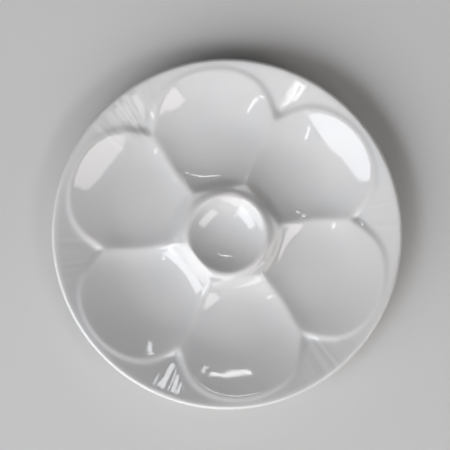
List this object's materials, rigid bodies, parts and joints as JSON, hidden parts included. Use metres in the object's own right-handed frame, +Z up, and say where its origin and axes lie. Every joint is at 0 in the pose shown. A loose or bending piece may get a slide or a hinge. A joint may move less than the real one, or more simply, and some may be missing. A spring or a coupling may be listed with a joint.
{
  "type": "mixing palette",
  "caption": "Round white glazed porcelain palette with swirled egg-shaped wells around a round centre well, on an unglazed foot ring.",
  "frame": {"origin": "centre of the palette on the surface it stands on", "axes": "+Z up through the centre well, out of its mouth; +X to the right of the plate as it is usually drawn, with the first outer well 39.6 degrees anticlockwise from it"},
  "size_m": [0.25, 0.25, 0.022],
  "materials": {
    "glaze": "clear gloss glaze over white porcelain",
    "bisque": "bare fired porcelain, matt and slightly rough"
  },
  "bodies": {
    "root": {"glazed_plate": "glaze", "bare_foot": "bisque"}
  },
  "joints": []
}
